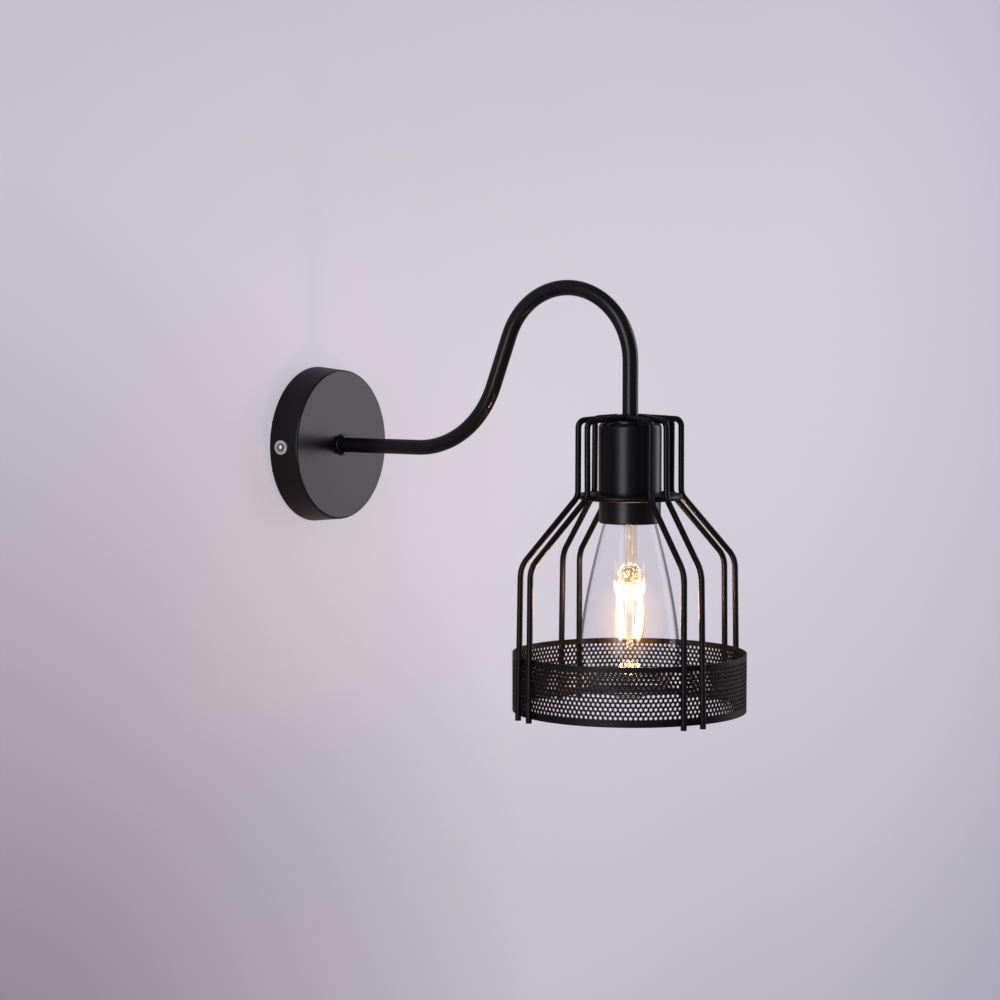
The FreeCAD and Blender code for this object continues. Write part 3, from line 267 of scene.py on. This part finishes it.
# Pinch, stem glass and wires near the filaments: painted warm glints and a painted glow stand in for
# the filaments' light on them.
SPARKLE = wire_with_painted_glow("pinch_sparkle", (0.26, 0.16, 0.07), (1.0, 0.92, 0.70),
                    strength=1.4, glint_fleck_scale=640.0)
PALE_GLASS_PAINTED_GLOW = wire_with_painted_glow("pale_glass_painted_glow", (0.72, 0.58, 0.46), (0.98, 0.88, 0.78),
                       strength=0.62, glint_fleck_scale=260.0)
CARRIER_WIRE_PAINTED_GLOW = wire_with_painted_glow("carrier_wire", (0.62, 0.44, 0.26), (1.0, 0.84, 0.58),
                         strength=0.55, glint_fleck_scale=900.0)
WIRE_PAINTED_GLOW = wire_with_painted_glow("wire_with_painted_glow", (0.75, 0.48, 0.22), (1.0, 0.88, 0.62),
                      strength=2.6, glint_fleck_scale=900.0)

FINISH_BY_SLOT = {
    "black_paint": PAINT, "chrome": CHROME, "zinc_steel": ZINC, "brass": BRASS, "clear_glass": GLASS,
    "ceramic": CERAMIC, "phenolic": SKIRT, "filament": FILAMENT, "solder_tin": ZINC,
    "dark_vitrite": VITRITE, "nickel_cap": NICKEL, "brown_sleeve": BROWN, "blue_sleeve": BLUE,
    "nickel_wire": NICKEL,
}

FINISH_BY_NODE = {
    "glass_stem": STEM_GLASS, "filament_carrier_upper": CARRIER_WIRE_PAINTED_GLOW,
    "filament_carrier_lower": CARRIER_WIRE_PAINTED_GLOW, "side_washer_left": BRIGHT_ZINC,
    "side_washer_right": BRIGHT_ZINC, "lamp_cup": LAMP_PAINT, "neck_ring": WIRE_PAINT,
}
for number in range(1, 9):
    FINISH_BY_NODE["cage_wire_%d" % number] = WIRE_PAINT

for part in frame["record"]["subparts"]:
    finishes = NODES[part["node"]].data.materials
    finishes.clear()
    finishes.append(FINISH_BY_NODE.get(part["node"], FINISH_BY_SLOT[part["material_slot"]]))


# ---- mesh helpers -------------------------------------------------------------------------------

def around(radius, turn, level):
    """A point by millimetres from the lamp axis, radians from +X and level in millimetres."""
    return (radius / 1000 * math.cos(turn), LAMP_Y + radius / 1000 * math.sin(turn),
            CUP_TOP - level / 1000)


def on_axis(radius, angle, level):
    """The same point with its angle in degrees."""
    return around(radius, math.radians(angle), level)


def add_mesh(name, points, faces, material, body, smooth=True):
    mesh = bpy.data.meshes.new(name)
    mesh.from_pydata(points, [], faces)
    mesh.materials.append(material)
    mesh.update()
    for face in mesh.polygons:
        face.use_smooth = smooth
    obj = bpy.data.objects.new(name, mesh)
    bpy.context.scene.collection.objects.link(obj)
    if body:
        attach(obj, body)
    return obj


def face_outward(obj, join_within=0.0):
    """Turns every face of a closed mesh outward, after points closer than join_within are joined."""
    work = bmesh.new()
    work.from_mesh(obj.data)
    if join_within:
        bmesh.ops.remove_doubles(work, verts=work.verts, dist=join_within)
    bmesh.ops.recalc_face_normals(work, faces=work.faces)
    work.to_mesh(obj.data)
    work.free()


def lathe(name, profile, material, body, steps=128):
    """Closed profile of (radius, level) points in millimetres, turned on the lamp axis."""
    points = []
    faces = []
    count = len(profile)
    for step in range(steps):
        angle = 2 * math.pi * step / steps
        for radius, level in profile:
            points.append(around(radius, angle, level))
    for step in range(steps):
        following = (step + 1) % steps
        for index in range(count):
            after = (index + 1) % count
            faces.append((step * count + index, step * count + after,
                          following * count + after, following * count + index))
    obj = add_mesh(name, points, faces, material, body)
    face_outward(obj, join_within=1e-6)
    return obj


def arc(centre, radius, first, last, steps):
    """Points of an arc by angle in degrees, counted from outward toward upward."""
    points = []
    for step in range(steps + 1):
        angle = math.radians(first + (last - first) * step / steps)
        points.append((centre[0] + radius * math.cos(angle), centre[1] - radius * math.sin(angle)))
    return points


def spindle(name, start, end, radii, material, body, sides=10):
    """Round bar between two points in metres, its radius given at even steps along it."""
    start, end = Vector(start), Vector(end)
    along = (end - start).normalized()
    side = along.orthogonal().normalized()
    other = along.cross(side)
    last = len(radii) - 1
    points = []
    for step, radius in enumerate(radii):
        centre = start.lerp(end, step / last)
        for number in range(sides):
            angle = 2 * math.pi * number / sides
            points.append(tuple(centre + (side * math.cos(angle) + other * math.sin(angle)) * radius))
    faces = [tuple(range(sides))[::-1], tuple(range(last * sides, (last + 1) * sides))]
    for step in range(last):
        near, far = step * sides, (step + 1) * sides
        for number in range(sides):
            after = (number + 1) % sides
            faces.append((near + number, near + after, far + after, far + number))
    return add_mesh(name, points, faces, material, body)


def rod(name, start, end, radius, material, body):
    """Straight round rod between two points in metres."""
    return spindle(name, start, end, (radius, radius), material, body)


# ---- glass of the bulb --------------------------------------------------------------------------

def envelope_profile(skin):
    """One face of the glass, from the tube in the cap to the crown; skin is taken off inward."""
    tube_in_cap = ((12.4, 49.9), (12.4, 57.2), (12.7, 58.2), (14.4, 60.6))
    widest, neck, neck_level = 32.0, 16.7, 63.8
    crown_level, crown_height, corner = 175.5, 29.0, 24.0
    flank_steps, flank_power, arc_steps = 40, 1.5, 14
    widest_level = crown_level - crown_height
    profile = [(radius - skin, level) for radius, level in tube_in_cap]
    for step in range(flank_steps + 1):
        share = step / flank_steps
        swell = 1 - (1 - share) ** flank_power
        profile.append((neck + (widest - neck) * swell - skin,
                        neck_level + (widest_level - neck_level) * share))
    out = widest - corner
    crown = (out ** 2 + crown_height ** 2 - corner ** 2) / (2 * (crown_height - corner))
    crown_centre = (0.0, crown_level - crown)
    lean = math.degrees(math.atan2(widest_level - crown_centre[1], out))
    profile += arc((out, widest_level), corner - skin, 0.0, -lean, arc_steps)[1:]
    profile += arc(crown_centre, crown - skin, -lean, -90.0, arc_steps)[1:]
    return profile


GLASS_THICKNESS = 0.8
glass_profile = envelope_profile(0.0) + envelope_profile(GLASS_THICKNESS)[::-1]
envelope = lathe("bulb_envelope", glass_profile, GLASS, "bulb", steps=160)
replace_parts(envelope, "glass_envelope")


# ---- perforated band ----------------------------------------------------------------------------

def perforated_band():
    """Sheet band with eleven staggered rows of round holes, each in a six-sided cell of its own."""
    outer_radius, inner_radius = 74.4, 73.5
    top_level, low_level = 146.0, 183.0
    holes_round, rows, hole = 150, 11, 1.03
    corners = 12
    pitch = 2 * math.pi * outer_radius / holes_round
    row_step = pitch * math.sqrt(3) / 2
    first_row = low_level - 5.6
    turn = 2 * math.pi / holes_round
    edge_corners = {0: (7, 8, 9, 10, 11), rows - 1: (5, 4, 3, 2, 1)}
    edge_level = {0: low_level, rows - 1: top_level}
    flat = []
    index_of = {}

    def point(s, level):
        """Index of a point that neighbouring cells share, told apart by twelfths of a pitch."""
        key = (round((s / pitch * 12)) % (12 * holes_round), round(level * 1000))
        if key not in index_of:
            index_of[key] = len(flat)
            flat.append((s / pitch * turn, level))
        return index_of[key]

    faces = []
    rims = []
    borders = []
    for row in range(rows):
        level = first_row - row * row_step
        shift = 0.5 * pitch * (row % 2)
        for number in range(holes_round):
            s = number * pitch + shift
            across = []
            cell = []
            ring = []
            for corner in range(corners):
                angle = math.radians(360 // corners * corner)
                reach = pitch / math.sqrt(3) if corner % 2 else pitch / 2
                across.append(s + reach * math.cos(angle))
                cell.append(point(across[corner], level - reach * math.sin(angle)))
                ring.append(len(flat))
                flat.append(((s + hole * math.cos(angle)) / pitch * turn,
                             level - hole * math.sin(angle)))
            for corner in range(corners):
                after = (corner + 1) % corners
                faces.append((cell[corner], cell[after], ring[after], ring[corner]))
            rims.append(ring)
            if row in edge_corners:
                chain = [cell[corner] for corner in edge_corners[row]]
                edge = [point(across[corner], edge_level[row]) for corner in edge_corners[row]]
                for step in range(len(edge) - 1):
                    faces.append((chain[step], chain[step + 1], edge[step + 1], edge[step]))
                    borders.append((edge[step], edge[step + 1]))
    points = []
    for radius in (outer_radius, inner_radius):
        for angle, level in flat:
            points.append(around(radius, angle, level))
    half = len(flat)
    solid = faces + [tuple(v + half for v in reversed(face)) for face in faces]
    for ring in rims:
        for corner in range(corners):
            after = (corner + 1) % corners
            solid.append((ring[corner], ring[after], ring[after] + half, ring[corner] + half))
    for first, last in borders:
        solid.append((first, last, last + half, first + half))
    band = add_mesh("band_sheet", points, solid, BAND_PAINT, "fixture", smooth=False)
    face_outward(band)
    return band


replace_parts(perforated_band(), "perforated_band")


# ---- inside of the bulb -------------------------------------------------------------------------

# Degrees from +X of the line that lies across the camera's view. The wires stand aside along it.
VIEW_SIDE = -56.7

STEM_TOP, LEAD_END, EXHAUST_END = 58.0, 91.0, 84.0
LEAD_CLOSING = 0.8
for number, aside in enumerate((-2.6, 2.4)):
    rod("stem_lead_%d" % (number + 1), on_axis(aside, VIEW_SIDE, STEM_TOP),
        on_axis(aside * LEAD_CLOSING, VIEW_SIDE, LEAD_END),
        0.00035 + 0.0001 * number, PALE_GLASS_PAINTED_GLOW, "bulb")
rod("stem_exhaust", on_axis(0, 0, STEM_TOP), on_axis(0, 0, EXHAUST_END),
    0.0012, PALE_GLASS_PAINTED_GLOW, "bulb")

BORE = 1.35
PINCH = ((BORE, 91.2), (4.4, 91.2), (5.3, 93.0), (5.5, 97.0), (5.0, 101.0), (3.6, 102.6), (BORE, 102.6))
lathe("stem_pinch", PINCH, SPARKLE, "bulb", steps=48)

SUPPORT_TOP, SUPPORT_END = 102.4, 135.6
for number, aside in enumerate((-2.3, 2.0)):
    rod("support_wire_%d" % (number + 1), on_axis(aside, VIEW_SIDE, SUPPORT_TOP),
        on_axis(aside, VIEW_SIDE, SUPPORT_END), 0.0003, WIRE_PAINTED_GLOW, "bulb")

LOW_ANCHOR = ((BORE, 136.8), (2.1, 136.8), (2.1, 143.2), (BORE, 143.2))
lathe("low_anchor", LOW_ANCHOR, SPARKLE, "bulb", steps=32)

# Painted glow along each filament: its radii in millimetres, then its ends as distance from axis and
# level.
HALO = (0.2, 0.2, 0.4, 0.8, 1.6, 2.6, 3.3, 3.6, 3.4, 2.8, 0.8)
GLOW_TOP = (11.8, 100.0)
GLOW_END = (7.8, 139.5)
for number in range(4):
    angle = -107.0 + 90.0 * number
    spindle("filament_glow_%d" % (number + 1), on_axis(GLOW_TOP[0], angle, GLOW_TOP[1]),
            on_axis(GLOW_END[0], angle, GLOW_END[1]), [radius / 1000 for radius in HALO],
            FILAMENT_PAINTED_GLOW, "bulb", sides=32)

# Painted warm glow inside the bulb: half an ellipse from its top to its bottom, kept a hair off the
# axis.
WARM_GLOW_LEVEL, WARM_GLOW_RADIUS, WARM_GLOW_HALF_HEIGHT = 124.0, 24.0, 30.0
WARM_GLOW_STEPS = 24
warm_glow_outline = []
for step in range(WARM_GLOW_STEPS + 1):
    angle = math.pi * step / WARM_GLOW_STEPS
    warm_glow_outline.append((WARM_GLOW_RADIUS * math.sin(angle) + 0.01, WARM_GLOW_LEVEL - WARM_GLOW_HALF_HEIGHT * math.cos(angle)))
lathe("bulb_painted_glow", warm_glow_outline, WARM_PAINTED_GLOW, "bulb", steps=64)


# ---- wall ---------------------------------------------------------------------------------------

def pool(mat, coord, centre, reach):
    """Soft round mask for painted light and painted shade on the wall: 1 at its centre, 0 at its reach,
    in metres across and up.
    """
    place = node(mat, "ShaderNodeMapping", vector_type="POINT")
    place.inputs["Location"].default_value = (-centre[0] / reach[0], 0.0, -centre[1] / reach[1])
    place.inputs["Scale"].default_value = (1 / reach[0], 1.0, 1 / reach[1])
    link(mat, coord.outputs["Object"], place.inputs["Vector"])
    shade = node(mat, "ShaderNodeTexGradient", gradient_type="SPHERICAL")
    link(mat, place.outputs["Vector"], shade.inputs["Vector"])
    return shade.outputs["Fac"]


def wall_paint():
    """Matt paint with a painted pool of light that makes it brighter behind the lamp, and painted shade
    that dims the low left corner.

    To the camera, part of it gives off light of its own. It is clear from behind, and to rays that
    start within 3 mm of it, so that the bracket shows there.
    """
    own_light, own_share, clear_within = 2.52, 0.25, 0.003
    mat = new_material("wall_paint")
    coord = node(mat, "ShaderNodeTexCoord")
    grain_and_glint_flecks = noise(mat, coord, 2.2, 2.0)
    # Painted light: a pool that brightens the wall behind the lamp.
    painted_light_pool = pool(mat, coord, centre=(0.22, -0.02), reach=(2.1, 1.15))
    blend = math_node(mat, "MULTIPLY_ADD", grain_and_glint_flecks, 0.10, painted_light_pool)
    colour = colour_ramp(mat, blend, (0.25, (0.47, 0.455, 0.545)), (1.0, (0.765, 0.733, 0.805)))
    # Painted shade: a pool that darkens the low left corner.
    # This node keeps its share in socket 0, its two colours in 6 and 7, and the mixed colour in 2.
    painted_corner_shade = node(mat, "ShaderNodeMix", data_type="RGBA", blend_type="MULTIPLY")
    link(mat, pool(mat, coord, centre=(-0.38, -0.44), reach=(0.66, 0.62)), painted_corner_shade.inputs[0])
    link(mat, colour, painted_corner_shade.inputs[6])
    painted_corner_shade.inputs[7].default_value = (0.40, 0.355, 0.345, 1)
    wall_colour_and_painted_light = painted_corner_shade.outputs[2]
    matt = node(mat, "ShaderNodeBsdfDiffuse")
    link(mat, wall_colour_and_painted_light, matt.inputs["Color"])
    glow = node(mat, "ShaderNodeEmission", Strength=own_light)
    link(mat, wall_colour_and_painted_light, glow.inputs["Color"])
    path = node(mat, "ShaderNodeLightPath")
    share = math_node(mat, "MULTIPLY", seen_ray(mat, path), own_share)
    painted = mix_shaders(mat, share, matt.outputs["BSDF"], glow.outputs["Emission"])
    side = node(mat, "ShaderNodeNewGeometry")
    near = math_node(mat, "LESS_THAN", path.outputs["Ray Length"], clear_within)
    clear = math_node(mat, "MAXIMUM", side.outputs["Backfacing"], near)
    behind = node(mat, "ShaderNodeBsdfTransparent")
    return finish_material(mat, mix_shaders(mat, clear, painted, behind.outputs["BSDF"]))


def wall():
    """Wall plane, just behind the part's back plane, which is at y 0."""
    left, right, half_height, y = -3, 4, 2.5, 0.0006
    points = [(left, y, -half_height), (right, y, -half_height),
              (right, y, half_height), (left, y, half_height)]
    return add_mesh("wall_plane", points, [(0, 1, 2, 3)], wall_paint(), None, smooth=False)


wall()


# ---- lights, room and camera --------------------------------------------------------------------

def area_light(name, position, target, size, power, colour):
    data = bpy.data.lights.new(name, "AREA")
    data.shape = "RECTANGLE"
    data.size, data.size_y = size
    data.energy = power
    data.color = colour
    lamp = bpy.data.objects.new(name, data)
    bpy.context.scene.collection.objects.link(lamp)
    lamp.location = position
    lamp.rotation_euler = (Vector(target) - Vector(position)).to_track_quat("-Z", "Y").to_euler()
    return lamp


area_light("softbox_left", (-1.5, -0.36, 0.25), target=(0, LAMP_Y, 0), size=(0.62, 1.5),
           power=9.0, colour=(0.93, 0.94, 1.0))
area_light("softbox_right", (1.28, -0.95, 0.28), target=(0, -0.05, 0), size=(0.66, 1.2),
           power=5.2, colour=(0.94, 0.90, 1.0))
area_light("softbox_back", (0.5, 1.3, 0.4), target=(0, 0, 0), size=(0.9, 0.9),
           power=9.0, colour=(0.95, 0.95, 1.0))

GLOW_LEVEL = 118.0
bulb_light = bpy.data.lights.new("bulb_glow", "POINT")
bulb_light.energy = 0.38
bulb_light.color = (1.0, 0.50, 0.20)
bulb_light.shadow_soft_size = 0.012
glow_object = bpy.data.objects.new("bulb_glow", bulb_light)
glow_object.location = on_axis(0, 0, GLOW_LEVEL)
glow_object.visible_camera = False
glow_object.visible_transmission = False
bpy.context.scene.collection.objects.link(glow_object)
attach(glow_object, "bulb")

# The room is pale where the camera looks past the wall, and dimmer as a light.
ROOM_AS_LIGHT, ROOM_AS_SEEN = 0.16, 0.78
world = bpy.data.worlds.new("room")
world.use_nodes = True
ambient = world.node_tree.nodes["Background"]
ambient.inputs["Color"].default_value = (0.80, 0.79, 0.84, 1)
rays = node(world, "ShaderNodeLightPath")
room_level = node(world, "ShaderNodeMapRange", To_Min=ROOM_AS_LIGHT, To_Max=ROOM_AS_SEEN)
link(world, rays.outputs["Is Camera Ray"], room_level.inputs["Value"])
link(world, room_level.outputs["Result"], ambient.inputs["Strength"])
bpy.context.scene.world = world

# Camera fitted to the photo. It looks down, and aside from square to the wall, by these degrees.
CAMERA_DOWN, CAMERA_ASIDE = 4.16, 56.72
camera_data = bpy.data.cameras.new("camera")
camera_data.lens = 97.2
camera_data.sensor_width = 36.0
camera = bpy.data.objects.new("camera", camera_data)
camera.location = (-1.47019, -1.11639, 0.09535)
camera.rotation_euler = (math.radians(90 - CAMERA_DOWN), 0, math.radians(-CAMERA_ASIDE))
bpy.context.scene.collection.objects.link(camera)
bpy.context.scene.camera = camera

bpy.context.scene.view_settings.view_transform = "Standard"
